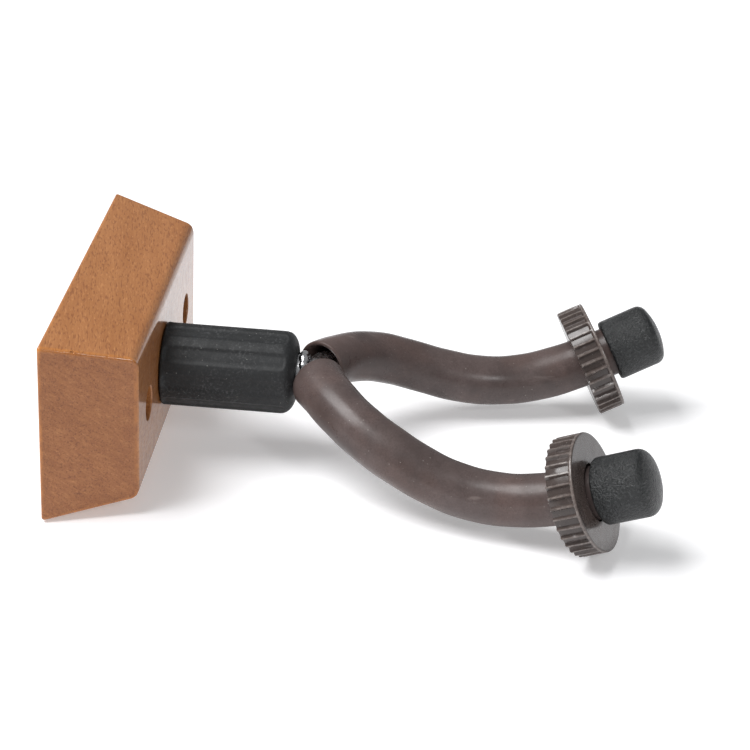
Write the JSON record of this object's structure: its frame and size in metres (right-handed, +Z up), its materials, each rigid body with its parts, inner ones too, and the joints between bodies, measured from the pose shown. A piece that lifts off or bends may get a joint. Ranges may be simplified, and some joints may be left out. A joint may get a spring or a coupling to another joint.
{
  "type": "wall guitar hanger",
  "caption": "Wall hanger for a guitar: wooden base block, fluted barrel and a swivelling padded yoke whose rising arms carry ribbed stop rings and end caps.",
  "frame": {"origin": "where the yoke's swivel axis meets the wall plane, on the base block's back face", "axes": "+Y into the wall, so the hanger stands out along -Y; +Z up; +X along the base block's long side, to the right of a person who faces the wall"},
  "size_m": [0.1274, 0.1857, 0.0578],
  "materials": {
    "lacquered_wood": "clear gloss lacquer on beech",
    "black_rubber": "fine matte grain",
    "barrel_rubber": "satin moulding",
    "brown_rubber": "satin",
    "plated_steel": "bright zinc plating",
    "nylon": "natural"
  },
  "bodies": {
    "base": {"base_block": "lacquered_wood", "barrel_cover": "barrel_rubber", "bearing_tube": "plated_steel", "rear_bush": "nylon", "front_bush": "nylon", "flat_washer": "plated_steel"},
    "yoke": {"yoke_shank": "plated_steel", "yoke_rod": "plated_steel", "weld_bead": "plated_steel", "spring_washer": "plated_steel", "lock_nut": "plated_steel", "nut_insert": "nylon", "sleeve_left": "brown_rubber", "sleeve_right": "brown_rubber", "cap_left": "black_rubber", "cap_right": "black_rubber"},
    "left_ring": {"ring_left": "brown_rubber"},
    "right_ring": {"ring_right": "brown_rubber"}
  },
  "joints": [
    {"name": "yoke_swivel", "type": "hinge", "parent": "base", "child": "yoke", "pos_m": [0, 0, 0], "axis": [0, -1, 0], "continuous": true},
    {"name": "left_ring_turn", "type": "hinge", "parent": "yoke", "child": "left_ring", "pos_m": [-0.04418, -0.15999, -0.01012], "axis": [-0.2102, -0.8827, 0.4203], "continuous": true},
    {"name": "right_ring_turn", "type": "hinge", "parent": "yoke", "child": "right_ring", "pos_m": [0.04461, -0.16197, -0.00927], "axis": [0.2102, -0.8827, 0.4203], "continuous": true}
  ]
}
